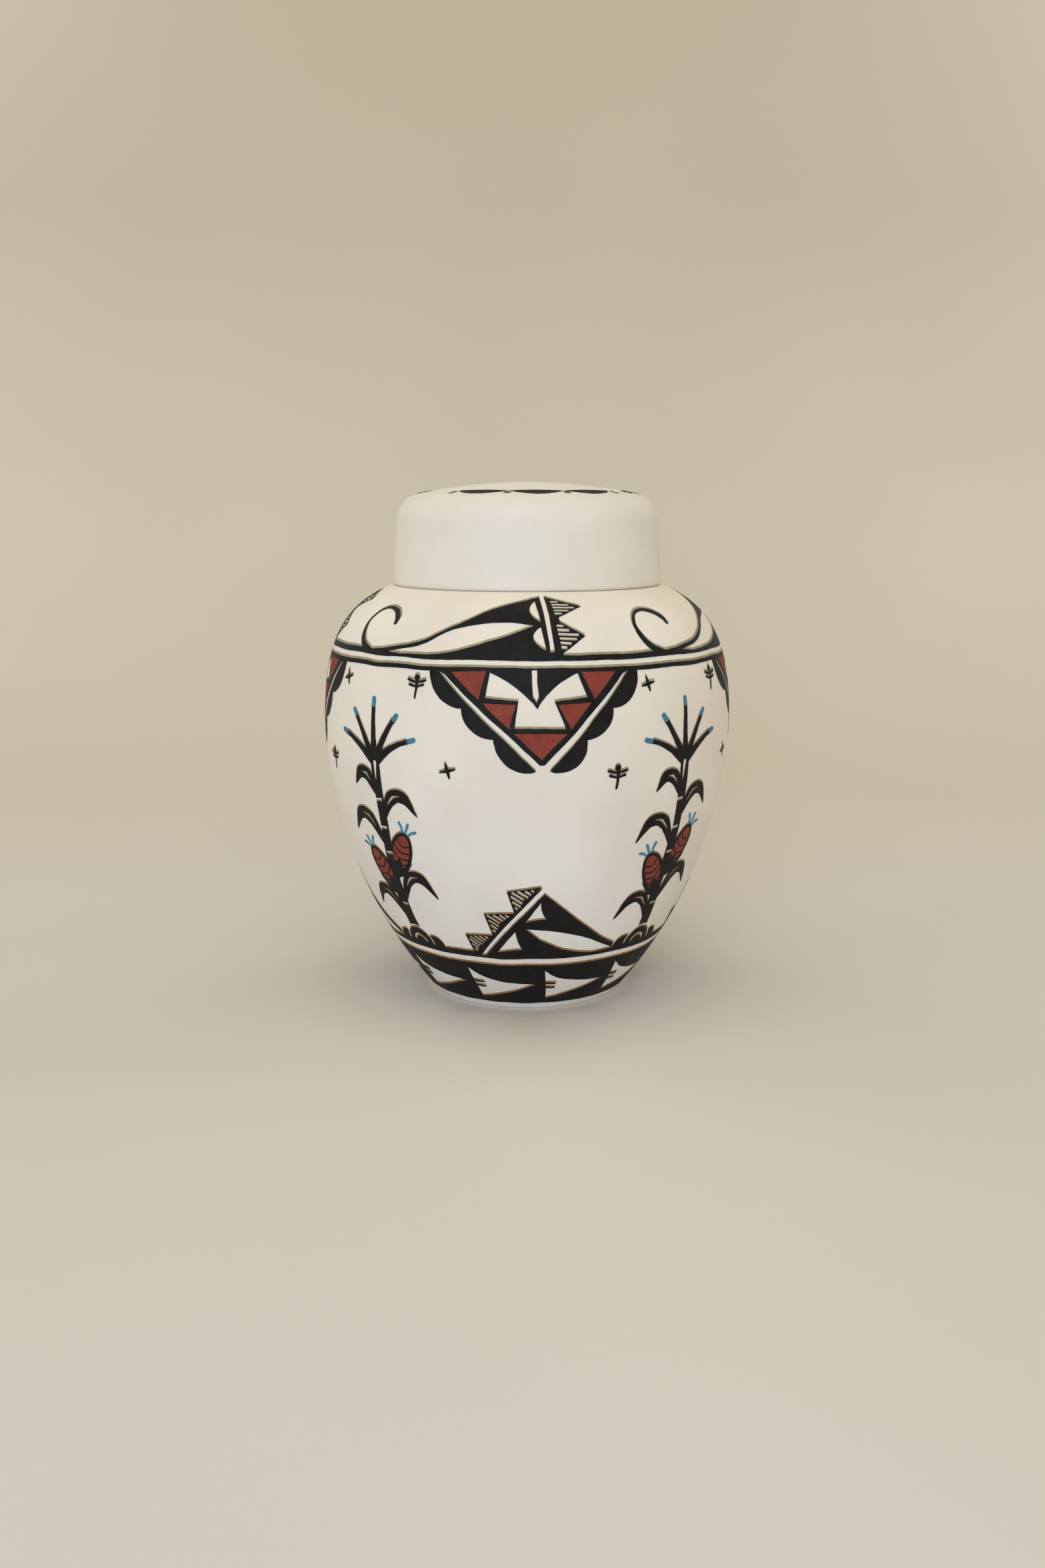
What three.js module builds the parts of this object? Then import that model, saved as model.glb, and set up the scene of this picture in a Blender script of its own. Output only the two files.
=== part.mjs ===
// Lidded pottery jar: a round-bellied jar on a foot ring, with a ledge on its shoulder and a short neck,
// and a cap lid that slips over the neck and rests on the ledge. Both are hollow shells of fired clay.
// Millimetres, +Z up, the origin on the table at the middle of the foot.

import * as THREE from 'three';

// Driving dimensions of the jar

const bellyRadius = 86.2;
const bellyHeight = 117.5;
const footRadius = 42.3;
const footFlareAngle = THREE.MathUtils.degToRad(50.2);
const footRounding = 1.5;
const footRingWidth = 6.5;
const footRecessDepth = 2.6;
const floorThickness = 6;
const floorCornerRadius = 9;
const jarWall = 5.2;
const ledgeHeight = 173.6;
const shoulderSlope = THREE.MathUtils.degToRad(27);

// How far the jar's side holds each end's direction, as a share of the curve's height or width

const footFullness = 0.44;
const bellyUnderFullness = 0.24;
const bellyOverFullness = 0.73;
const shoulderFullness = 0.56;

// Driving dimensions of the neck

const neckRise = 19;
const neckWall = 4.6;
const neckFillet = 1.8;

// Driving dimensions of the lid

const lidRimRadius = 56.6;
const lidHeight = 42.1;
const lidTaper = 1.8;
const lidWall = 4.6;
const lidTopThickness = 5.4;
const lidEdgeRadius = 12;
const lidCrownRise = 4.2;
const lidRimRounding = 1.2;

// Clearances between the lid and the jar

const seatGap = 0.3;
const neckClearance = 2.6;
const ledgeMargin = 1.2;

// How finely the round stretches are divided

const turns = 64;
const sideSteps = 12;
const shoulderSteps = 8;
const cornerSteps = 4;
const smallCornerSteps = 3;

// Sizes that follow from the ones above

const ledgeRadius = lidRimRadius + ledgeMargin;
const neckRadius = lidRimRadius - lidWall - neckClearance;
const neckTop = ledgeHeight + neckRise;
const neckBore = neckRadius - neckWall;
const floorHeight = footRecessDepth + floorThickness;

const clay = { roughness: 0.85, metalness: 0 };

function point(radius, height) {
  return new THREE.Vector2(radius, height);
}

// A cubic curve that leaves start towards startHandle and reaches end from endHandle
function sweep(start, startHandle, endHandle, end, steps) {
  return new THREE.CubicBezierCurve(start, startHandle, endHandle, end).getPoints(steps);
}

// A rounded corner between two points, bent towards the sharp corner that it replaces
function corner(start, sharp, end, steps = cornerSteps) {
  return new THREE.QuadraticBezierCurve(start, sharp, end).getPoints(steps);
}

// A circular arc, counted anticlockwise from the outward radius
function arc(centre, radius, from, to, steps = cornerSteps) {
  const turnsBack = to < from;
  const curve = new THREE.EllipseCurve(centre.x, centre.y, radius, radius, from, to, turnsBack);
  return curve.getPoints(steps);
}

// The same outline moved inwards by one wall, square to the outline at every point
function inset(outline, wall) {
  return outline.map((here, i) => {
    const before = outline[Math.max(i - 1, 0)];
    const after = outline[Math.min(i + 1, outline.length - 1)];
    const along = after.clone().sub(before).normalize();
    return point(here.x - along.y * wall, here.y + along.x * wall);
  });
}

// Leaves out a point that repeats the one before it, where two stretches of an outline meet
function joinStretches(...stretches) {
  const smallest = 1e-4;
  return stretches.flat().filter((here, i, all) => i === 0 || here.distanceTo(all[i - 1]) > smallest);
}

// Turns an outline in the plane of radius and height once around the upright axis
function turnedMesh(name, outline, colour) {
  const geometry = new THREE.LatheGeometry(outline, turns);
  geometry.rotateX(Math.PI / 2);
  const material = new THREE.MeshStandardMaterial({ color: colour, ...clay });
  const mesh = new THREE.Mesh(geometry, material);
  mesh.name = name;
  return mesh;
}

// The jar's outer side, from just above the foot, round the belly and in to the ledge
function jarSide() {
  const footEdge = point(footRadius, footRounding);
  const belly = point(bellyRadius, bellyHeight);
  const ledgeEdge = point(ledgeRadius, ledgeHeight);

  const footHold = bellyHeight * footFullness;
  const footHandle = point(
    footEdge.x + footHold * Math.cos(footFlareAngle),
    footEdge.y + footHold * Math.sin(footFlareAngle),
  );
  const underHandle = point(belly.x, belly.y - bellyHeight * bellyUnderFullness);
  const lower = sweep(footEdge, footHandle, underHandle, belly, sideSteps);

  const shoulderRise = ledgeHeight - bellyHeight;
  const shoulderHold = (bellyRadius - ledgeRadius) * shoulderFullness;
  const overHandle = point(belly.x, belly.y + shoulderRise * bellyOverFullness);
  const ledgeHandle = point(
    ledgeEdge.x + shoulderHold * Math.cos(shoulderSlope),
    ledgeEdge.y - shoulderHold * Math.sin(shoulderSlope),
  );
  const upper = sweep(belly, overHandle, ledgeHandle, ledgeEdge, shoulderSteps);
  return joinStretches(lower, upper);
}

// The underside, from the middle of the recess out over the foot ring
function footOutline() {
  const ringOuter = footRadius - footRounding;
  const ringInner = ringOuter - footRingWidth;
  const recessEdge = corner(
    point(ringInner - footRecessDepth, footRecessDepth),
    point(ringInner - footRecessDepth / 2, footRecessDepth),
    point(ringInner, 0),
    smallCornerSteps,
  );
  const outerEdge = corner(
    point(ringOuter, 0),
    point(ringOuter + footRounding / 2, 0),
    point(footRadius, footRounding),
    smallCornerSteps,
  );
  return joinStretches([point(0, footRecessDepth)], recessEdge, outerEdge);
}

// The ledge that carries the lid, the neck inside it and the neck's round lip
function neckOutline() {
  const lipRadius = neckWall / 2;
  const lipCentre = point(neckRadius - lipRadius, neckTop - lipRadius);
  const root = corner(
    point(neckRadius + neckFillet, ledgeHeight),
    point(neckRadius, ledgeHeight),
    point(neckRadius, ledgeHeight + neckFillet),
    smallCornerSteps,
  );
  const lip = arc(lipCentre, lipRadius, 0, Math.PI, 2 * cornerSteps);
  return joinStretches(root, lip);
}

// The inside, from the neck's bore out under the shoulder, down the belly and in over the floor
function jarInside(side) {
  const wallBottom = floorHeight + floorCornerRadius;
  const wall = inset(side, jarWall).filter((p) => p.y > wallBottom && p.x > neckBore).reverse();
  const wallTop = wall[0];
  const wallFoot = wall[wall.length - 1];
  const throat = corner(point(neckBore, ledgeHeight), point(neckBore, wallTop.y), wallTop);
  const cornerSpread = (wallFoot.y - floorHeight) / Math.tan(footFlareAngle);
  const sharp = point(wallFoot.x - cornerSpread, floorHeight);
  const floorEdge = point(sharp.x - floorCornerRadius, floorHeight);
  const floorCorner = corner(wallFoot, sharp, floorEdge);
  return joinStretches(throat, wall, floorCorner, [point(0, floorHeight)]);
}

function jarBody() {
  const side = jarSide();
  const outline = joinStretches(footOutline(), side, neckOutline(), jarInside(side));
  return turnedMesh('jar_body', outline, '#e9dfcd');
}

// One side and crown of the lid's wall, from the top of its rim's edge up to the axis
function lidCrown(rimRadius, topHeight, edgeRadius) {
  const edgeAcross = rimRadius - lidTaper - edgeRadius;
  const crownRadius = (edgeAcross ** 2 + lidCrownRise ** 2) / (2 * lidCrownRise);
  const crownCentre = point(0, topHeight - crownRadius);
  const edgeUp = Math.sqrt((crownRadius - edgeRadius) ** 2 - edgeAcross ** 2);
  const edgeCentre = point(edgeAcross, crownCentre.y + edgeUp);
  const meeting = Math.atan2(edgeUp, edgeAcross);
  const edge = arc(edgeCentre, edgeRadius, 0, meeting, 2 * cornerSteps);
  const crown = arc(crownCentre, crownRadius, meeting, Math.PI / 2);
  crown[crown.length - 1].x = 0;
  return joinStretches(edge, crown);
}

// The lid as one closed wall: from the middle of its hollow down to the rim and up the outside
function lid() {
  const rimBottom = ledgeHeight + seatGap;
  const lidTop = rimBottom + lidHeight;
  const rimInner = lidRimRadius - lidWall;
  const innerEdge = corner(
    point(rimInner, rimBottom + lidRimRounding),
    point(rimInner, rimBottom),
    point(rimInner + lidRimRounding, rimBottom),
    smallCornerSteps,
  );
  const outerEdge = corner(
    point(lidRimRadius - lidRimRounding, rimBottom),
    point(lidRimRadius, rimBottom),
    point(lidRimRadius, rimBottom + lidRimRounding),
    smallCornerSteps,
  );
  const hollow = lidCrown(rimInner, lidTop - lidTopThickness, lidEdgeRadius - lidWall);
  const crown = lidCrown(lidRimRadius, lidTop, lidEdgeRadius);
  return turnedMesh('lid', joinStretches(hollow.reverse(), innerEdge, outerEdge, crown), '#ece3d3');
}

const pottery = new THREE.Group();
pottery.add(jarBody(), lid());

export default pottery;
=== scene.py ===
"""A lidded pottery jar of unglazed clay, painted by hand in black, terracotta red and turquoise.

The jar and the lid are turned shells. The painting is drawn flat, in millimetres along the wall, and is then
laid on the clay as thin raised coats of paint.
"""
import math
import random

import bpy
import numpy as np
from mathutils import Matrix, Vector, geometry, noise

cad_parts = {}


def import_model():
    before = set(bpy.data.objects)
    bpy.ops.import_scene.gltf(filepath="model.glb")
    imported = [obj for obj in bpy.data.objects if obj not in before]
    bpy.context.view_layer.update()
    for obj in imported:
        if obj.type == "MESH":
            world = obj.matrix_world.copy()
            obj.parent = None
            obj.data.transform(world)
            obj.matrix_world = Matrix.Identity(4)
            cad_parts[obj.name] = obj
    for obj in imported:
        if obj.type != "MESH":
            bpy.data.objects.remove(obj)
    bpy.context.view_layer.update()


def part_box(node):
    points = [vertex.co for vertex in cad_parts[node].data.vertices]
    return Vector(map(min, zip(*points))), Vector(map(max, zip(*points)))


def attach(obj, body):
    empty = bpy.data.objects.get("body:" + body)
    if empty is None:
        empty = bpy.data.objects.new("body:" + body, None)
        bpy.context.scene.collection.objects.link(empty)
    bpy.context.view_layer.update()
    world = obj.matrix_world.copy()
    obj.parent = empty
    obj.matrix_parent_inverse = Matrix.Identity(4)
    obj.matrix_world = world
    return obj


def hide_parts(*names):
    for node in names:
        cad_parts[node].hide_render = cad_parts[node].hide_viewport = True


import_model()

MM = 0.001

# How far the paint stands on the clay and how far it is sunk in it

COAT = 0.2
THIN_COAT = 0.1
SUNK = 0.08

# Sizes of the two pieces, in millimetres, from the frame where it gives them

jar_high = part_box("jar_body")[1]
lid_low, lid_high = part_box("lid")
BELLY_RADIUS = jar_high[0] / MM - COAT
NECK_TOP = jar_high[2] / MM
LID_RIM_RADIUS = lid_high[0] / MM
LID_BOTTOM = lid_low[2] / MM
LID_TOP = lid_high[2] / MM

SEAT_GAP = 0.3
SHADOW_GAP = 0.03
LEDGE_MARGIN = 1.2
LEDGE_HEIGHT = LID_BOTTOM - SEAT_GAP
LEDGE_RADIUS = LID_RIM_RADIUS + LEDGE_MARGIN
BELLY_HEIGHT = 117.5
FOOT_RADIUS = 42.3
FOOT_ROUNDING = 1.5
FOOT_FLARE = math.radians(50.2)
FOOT_RING = 6.5
FOOT_RECESS = 2.6
FLOOR_THICKNESS = 6.0
FLOOR_CORNER = 9.0
JAR_WALL = 5.2
SHOULDER_SLOPE = math.radians(27)
NECK_WALL = 4.6
NECK_CLEARANCE = 2.6
NECK_FILLET = 1.8
LID_TAPER = 1.8
LID_WALL = 4.6
NECK_RADIUS = LID_RIM_RADIUS - LID_WALL - NECK_CLEARANCE
LID_TOP_THICKNESS = 5.4
LID_EDGE = 12.0
LID_CROWN_RISE = 4.2
LID_RIM_ROUNDING = 2.4
TURNS = 256

# How far the jar's side holds the direction of each end, as a share of the curve's height or width

FOOT_FULLNESS = 0.44
BELLY_UNDER_FULLNESS = 0.24
BELLY_OVER_FULLNESS = 0.73
SHOULDER_FULLNESS = 0.56

# The painting's layout: a flat chart whose x is the way round the wall at CHART_RADIUS, and whose y is the
# way up the wall from the foot, both in millimetres

CHART_RADIUS = 80.0
ROUND = 2 * math.pi * CHART_RADIUS
REPEATS = 4
ROW_REPEATS = 11
CHART_BOTTOM = 3.0
CHART_TOP = 196.0
GRID = 3.0
OUTLINE_STEP = 1.3

# The seed of the noise that moves the brush, which would otherwise change from run to run

BRUSH_SEED = 1
noise.seed_set(BRUSH_SEED)

# The paints, the bare clay with and without painted light round it, the painted sheen and the painted
# highlight

BLACK, RED, TURQUOISE, CLAY, OPEN, EDGE, HIGHLIGHT_LINE = range(7)


def linear(value):
    """One channel of a photograph's 0 to 255 values, as the linear one that shaders take."""
    return ((value / 255 + 0.055) / 1.055) ** 2.4 if value > 10 else value / 255 / 12.92


def srgb(red, green, blue):
    return linear(red), linear(green), linear(blue), 1


# Curves in the plane

def cubic(start, start_handle, end_handle, end, steps):
    a, b, c, d = (np.array(p, float) for p in (start, start_handle, end_handle, end))
    t = np.linspace(0, 1, steps + 1)[:, None]
    s = 1 - t
    return list(s ** 3 * a + 3 * s * s * t * b + 3 * s * t * t * c + t ** 3 * d)


def bend(start, control, end, steps=10):
    a, b, c = (np.array(p, float) for p in (start, control, end))
    t = np.linspace(0, 1, steps + 1)[:, None]
    return list((1 - t) ** 2 * a + 2 * (1 - t) * t * b + t * t * c)


def arc(centre, radius, start, end, steps=10):
    angles = np.linspace(start, end, steps + 1)
    return [np.array((centre[0] + radius * math.cos(a), centre[1] + radius * math.sin(a))) for a in angles]


def through(points, per_span=6):
    """A smooth curve through the points, by Catmull and Rom's rule."""
    p = [np.array(q, float) for q in points]
    p = [2 * p[0] - p[1]] + p + [2 * p[-1] - p[-2]]
    curve = []
    for a, b, c, d in zip(p, p[1:], p[2:], p[3:]):
        for t in np.linspace(0, 1, per_span, endpoint=False):
            curve.append(0.5 * (2 * b + (c - a) * t + (2 * a - 5 * b + 4 * c - d) * t * t
                                + (3 * b - a - 3 * c + d) * t ** 3))
    return curve + [p[-2]]


def mirrored(points):
    """One half of an outline, from top to bottom, completed by its mirror image across x = 0."""
    other = [(-x, y) for x, y in reversed([tuple(q) for q in points])]
    return [tuple(q) for q in points] + other


def stroke(points, widths, per_span=6, round_ends=True):
    """The outline of a brush stroke along a smooth line, with its width at every given point."""
    line = np.array(through(points, per_span))
    half = np.interp(np.linspace(0, 1, len(line)), np.linspace(0, 1, len(widths)), widths) / 2
    direction = np.gradient(line, axis=0)
    direction /= np.linalg.norm(direction, axis=1)[:, None]
    side = np.stack([-direction[:, 1], direction[:, 0]], 1)
    reach = half[:, None] * side
    end, start = [], []
    for a in np.linspace(math.pi / 2, -math.pi / 2, 7)[1:-1] if round_ends else ():
        end.append(line[-1] + half[-1] * (math.cos(a) * direction[-1] + math.sin(a) * side[-1]))
        start.append(line[0] - half[0] * (math.cos(a) * direction[0] + math.sin(a) * side[0]))
    return list(line + reach) + end + list((line - reach)[::-1]) + start


# The outlines of the jar and the lid in the plane of radius and height

def jar_side(steps=60):
    belly = (BELLY_RADIUS, BELLY_HEIGHT)
    hold = BELLY_HEIGHT * FOOT_FULLNESS
    foot_handle = (FOOT_RADIUS + hold * math.cos(FOOT_FLARE), FOOT_ROUNDING + hold * math.sin(FOOT_FLARE))
    under = (BELLY_RADIUS, BELLY_HEIGHT * (1 - BELLY_UNDER_FULLNESS))
    over = (BELLY_RADIUS, BELLY_HEIGHT + (LEDGE_HEIGHT - BELLY_HEIGHT) * BELLY_OVER_FULLNESS)
    reach = (BELLY_RADIUS - LEDGE_RADIUS) * SHOULDER_FULLNESS
    ledge_handle = (LEDGE_RADIUS + reach * math.cos(SHOULDER_SLOPE),
                    LEDGE_HEIGHT - reach * math.sin(SHOULDER_SLOPE))
    lower = cubic((FOOT_RADIUS, FOOT_ROUNDING), foot_handle, under, belly, steps)
    upper = cubic(belly, over, ledge_handle, (LEDGE_RADIUS, LEDGE_HEIGHT), steps)
    return lower + upper[1:]


def foot_outline():
    outer = FOOT_RADIUS - FOOT_ROUNDING
    inner = outer - FOOT_RING
    recess = bend((inner - FOOT_RECESS, FOOT_RECESS), (inner - FOOT_RECESS / 2, FOOT_RECESS), (inner, 0), 8)
    edge = bend((outer, 0), (outer + FOOT_ROUNDING / 2, 0), (FOOT_RADIUS, FOOT_ROUNDING), 8)
    return [np.array((0, FOOT_RECESS))] + recess + edge


def neck_outline():
    lip = NECK_WALL / 2
    root = bend((NECK_RADIUS + NECK_FILLET, LEDGE_HEIGHT), (NECK_RADIUS, LEDGE_HEIGHT),
                (NECK_RADIUS, LEDGE_HEIGHT + NECK_FILLET), 8)
    return root + arc((NECK_RADIUS - lip, NECK_TOP - lip), lip, 0, math.pi, 24)


def jar_inside(side):
    """The jar's inside, one wall in from the given side."""
    bore = NECK_RADIUS - NECK_WALL
    floor = FOOT_RECESS + FLOOR_THICKNESS
    side = np.array(side)
    direction = np.gradient(side, axis=0)
    direction /= np.linalg.norm(direction, axis=1)[:, None]
    wall = side + np.stack([-direction[:, 1], direction[:, 0]], 1) * JAR_WALL
    wall = wall[(wall[:, 1] > floor + FLOOR_CORNER) & (wall[:, 0] > bore)][::-1]
    throat = bend((bore, LEDGE_HEIGHT), (bore, wall[0][1]), wall[0], 16)
    sharp = (wall[-1][0] - (wall[-1][1] - floor) / math.tan(FOOT_FLARE), floor)
    corner = bend(wall[-1], sharp, (sharp[0] - FLOOR_CORNER, floor), 16)
    return throat + list(wall) + corner + [np.array((0, floor))]


def lid_crown(rim_radius, top, edge_radius):
    """The lid's rounded edge and its crown, up to the axis, for the outside or the hollow."""
    across = rim_radius - LID_TAPER - edge_radius
    crown_radius = (across ** 2 + LID_CROWN_RISE ** 2) / (2 * LID_CROWN_RISE)
    centre = (0, top - crown_radius)
    up = math.sqrt((crown_radius - edge_radius) ** 2 - across ** 2)
    meeting = math.atan2(up, across)
    edge = arc((across, centre[1] + up), edge_radius, 0, meeting, 24)
    crown = arc(centre, crown_radius, meeting, math.pi / 2, 24)
    crown[-1][0] = 0
    return edge + crown[1:]


def lid_outline():
    """The lid as one closed wall, with its rim almost on the ledge, so that the seam looks shut."""
    inner = LID_RIM_RADIUS - LID_WALL
    bottom = LEDGE_HEIGHT + SHADOW_GAP
    rounding = LID_RIM_ROUNDING
    inner_edge = bend((inner, bottom + rounding), (inner, bottom), (inner + rounding, bottom), 8)
    outer_edge = bend((LID_RIM_RADIUS - rounding, bottom), (LID_RIM_RADIUS, bottom),
                      (LID_RIM_RADIUS, bottom + rounding), 8)
    hollow = lid_crown(inner, LID_TOP - LID_TOP_THICKNESS, LID_EDGE - LID_WALL)[::-1]
    return hollow + inner_edge + outer_edge + lid_crown(LID_RIM_RADIUS, LID_TOP, LID_EDGE)


def without_repeats(outline):
    kept = [outline[0]]
    for p in outline[1:]:
        if np.hypot(*(np.array(p) - kept[-1])) > 1e-3:
            kept.append(np.array(p))
    return np.array(kept)


def object_from(name, vertices, faces, material):
    mesh = bpy.data.meshes.new(name)
    mesh.from_pydata([tuple(v) for v in vertices], [], [tuple(f) for f in faces])
    mesh.update()
    mesh.materials.append(material)
    piece = bpy.data.objects.new(name, mesh)
    bpy.context.scene.collection.objects.link(piece)
    return piece


def turned(name, outline, material):
    """A closed turned shell whose outline starts and ends on the axis."""
    outline = without_repeats(outline)
    first, last, rings = outline[0], outline[-1], outline[1:-1]
    angles = np.arange(TURNS) * 2 * math.pi / TURNS
    vertices = [(r * math.sin(a), -r * math.cos(a), z) for r, z in rings for a in angles]
    faces = []
    for ring in range(len(rings) - 1):
        for k in range(TURNS):
            a, b = ring * TURNS + k, ring * TURNS + (k + 1) % TURNS
            faces.append((a, b, b + TURNS, a + TURNS))
    start, end = len(vertices), len(vertices) + 1
    vertices += [(0, 0, first[1]), (0, 0, last[1])]
    tail = (len(rings) - 1) * TURNS
    for k in range(TURNS):
        faces.append((start, (k + 1) % TURNS, k))
        faces.append((end, tail + k, tail + (k + 1) % TURNS))
    piece = object_from(name, np.array(vertices) * MM, faces, material)
    piece.data.shade_smooth()
    return piece


# Laying a flat drawing on the clay

class Wall:
    """A turned surface measured along its outline, from where the outline starts."""

    def __init__(self, outline):
        self.outline = without_repeats(outline)
        steps = np.hypot(*np.diff(self.outline, axis=0).T)
        self.along = np.concatenate([[0], np.cumsum(steps)])
        direction = np.gradient(self.outline, axis=0)
        direction /= np.linalg.norm(direction, axis=1)[:, None]
        self.normal = np.stack([direction[:, 1], -direction[:, 0]], 1)

    def at(self, azimuth, along, lift):
        radius = np.interp(along, self.along, self.outline[:, 0])
        height = np.interp(along, self.along, self.outline[:, 1])
        out = np.interp(along, self.along, self.normal[:, 0])
        up = np.interp(along, self.along, self.normal[:, 1])
        size = np.hypot(out, up)
        radius = radius + out / size * lift
        height = height + up / size * lift
        return np.stack([radius * np.sin(azimuth), -radius * np.cos(azimuth), height], 1)


jar_wall = Wall([(FOOT_RADIUS - FOOT_ROUNDING, 0)] + jar_side())
lid_wall = Wall(lid_crown(LID_RIM_RADIUS, LID_TOP, LID_EDGE)[::-1])


def on_jar(points, lift):
    return jar_wall.at(points[:, 0] / CHART_RADIUS, points[:, 1], lift)


def on_lid(points, lift):
    """The lid's chart is seen from above, with the way from the middle measured along the crown."""
    return lid_wall.at(np.arctan2(points[:, 0], -points[:, 1]), np.hypot(points[:, 0], points[:, 1]), -lift)


def jar_place(x, y):
    """Where a point of the jar's chart lies in the noise that moves the brush, with no seam at the back."""
    angle = x / CHART_RADIUS
    return Vector((CHART_RADIUS * math.cos(angle), CHART_RADIUS * math.sin(angle), y))


def lid_place(x, y):
    """The same for the lid, well above the jar's noise."""
    above_jar = 300
    return Vector((x, y, above_jar))


def inside(points, outline):
    """Which of the points, sorted by x, lie inside a closed outline, as their indices."""
    low, high = outline.min(0), outline.max(0)
    first, last = np.searchsorted(points[:, 0], (low[0], high[0]))
    near = first + np.nonzero((points[first:last, 1] >= low[1]) & (points[first:last, 1] <= high[1]))[0]
    x, y = points[near, 0], points[near, 1]
    odd = np.zeros(len(near), bool)
    for (x0, y0), (x1, y1) in zip(outline, np.roll(outline, -1, axis=0)):
        if y0 != y1:
            odd ^= ((y0 > y) != (y1 > y)) & (x < (x1 - x0) * (y - y0) / (y1 - y0) + x0)
    return near[odd]


class Chart:
    """A drawing made of filled outlines in paint order.

    CLAY leaves the ground bare again, with the painted sheen above its black edges and the painted highlight
    below them. OPEN leaves it bare without them.
    """

    def __init__(self, place, edge_rise, edge_fall):
        self.shapes = []
        self.place = place
        self.edge_rise = edge_rise
        self.edge_fall = edge_fall

    def paint(self, shapes, x=0.0, y=0.0):
        for colour, outline in shapes:
            points = np.array([tuple(p) for p in outline], float)
            self.shapes.append((colour, self.by_hand(divided(points + (x, y)))))

    def by_hand(self, points):
        """A brush never quite follows the line: small smooth wanderings of each outline."""
        slow_length, slow_reach = 14, 0.45
        quick_length, quick_reach = 2.6, 0.13
        apart = Vector((40, 0, 0))
        moved = []
        for x, y in points:
            where = self.place(x, y)
            slow = noise.noise_vector(where / slow_length)
            quick = noise.noise_vector(where / quick_length + apart)
            moved.append((x + slow_reach * slow.x + quick_reach * quick.x,
                          y + slow_reach * slow.z + quick_reach * quick.z))
        return np.array(moved)

    def wrapped(self, width):
        """Repeats what crosses the seam at the back on the seam's other side."""
        extra = []
        for colour, outline in self.shapes:
            copies = [(colour, outline)]
            if outline[:, 0].max() > width / 2:
                copies.append((colour, outline - (width, 0)))
            if outline[:, 0].min() < -width / 2:
                copies.append((colour, outline + (width, 0)))
            extra += copies
        self.shapes = extra

    def colours(self, points, shift=None):
        """The colour of each of the points, sorted by x, with the whole drawing shifted if shift is given."""
        result = np.full(len(points), CLAY)
        for colour, outline in self.shapes:
            if shift is None:
                result[inside(points, outline)] = colour
            elif colour not in (OPEN, EDGE):
                result[inside(points, shift(outline))] = colour
        return result

    def kinds(self, points):
        """What shows at each of the points, with the painted sheen above and the painted highlight below the
        black edges.
        """
        kinds = self.colours(points)
        bare = kinds == CLAY
        # Bare clay just below the black gets the painted highlight, and bare clay just above it gets the
        # painted sheen.
        kinds[bare & (self.colours(points, self.edge_fall) == BLACK)] = HIGHLIGHT_LINE
        kinds[bare & (self.colours(points, self.edge_rise) == BLACK)] = EDGE
        kinds[kinds == OPEN] = CLAY
        return kinds

    def triangles(self, frame_points, frame_edges, grid):
        """Splits the drawing into triangles along every change of colour, and says what each one is."""
        points, edges = list(frame_points), list(frame_edges)
        for colour, outline in self.shapes:
            copies = [outline]
            if colour in (BLACK, CLAY):
                copies += [self.edge_rise(outline), self.edge_fall(outline)]
            for copy in copies:
                start = len(points)
                count = len(copy)
                points += [tuple(p) for p in copy]
                edges += [(start + k, start + (k + 1) % count) for k in range(count)]
        flat, faces = triangulated(points, edges)
        used, borders = np.unique(changes(faces, self.kinds(flat[faces].mean(1))), return_inverse=True)
        start = len(frame_points)
        points = list(frame_points) + [tuple(p) for p in flat[used]] + grid
        edges = list(frame_edges) + [(start + a, start + b) for a, b in borders.reshape(-1, 2).tolist()]
        flat, faces = triangulated(points, edges)
        middles = flat[faces].mean(1)
        return flat, faces, self.kinds(middles), middles


def triangulated(points, edges):
    """Triangles over the given points that keep the given edges, in the order of their middles' x."""
    vectors = [Vector(p) for p in points]
    flat, _, faces, *_ = geometry.delaunay_2d_cdt(vectors, edges, [], 0, 1e-5, False)
    flat = np.array([tuple(v) for v in flat])
    faces = np.array([f for f in faces if len(f) == 3])
    return flat, faces[np.argsort(flat[faces].mean(1)[:, 0])]


def changes(faces, kinds):
    """The edges that have a different kind on either side."""
    edges = np.sort(np.concatenate([faces[:, [0, 1]], faces[:, [1, 2]], faces[:, [2, 0]]]), axis=1)
    kinds = np.tile(kinds, 3)
    order = np.lexsort((edges[:, 1], edges[:, 0]))
    edges, kinds = edges[order], kinds[order]
    shared = (edges[1:] == edges[:-1]).all(1)
    return edges[1:][shared & (kinds[1:] != kinds[:-1])]


def divided(points):
    """The same closed outline with its long straight stretches divided."""
    result = []
    for here, after in zip(points, np.roll(points, -1, axis=0)):
        count = max(1, math.ceil(np.hypot(*(after - here)) / OUTLINE_STEP))
        result += [here + (after - here) * k / count for k in range(count)]
    return np.array(result)


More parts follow.
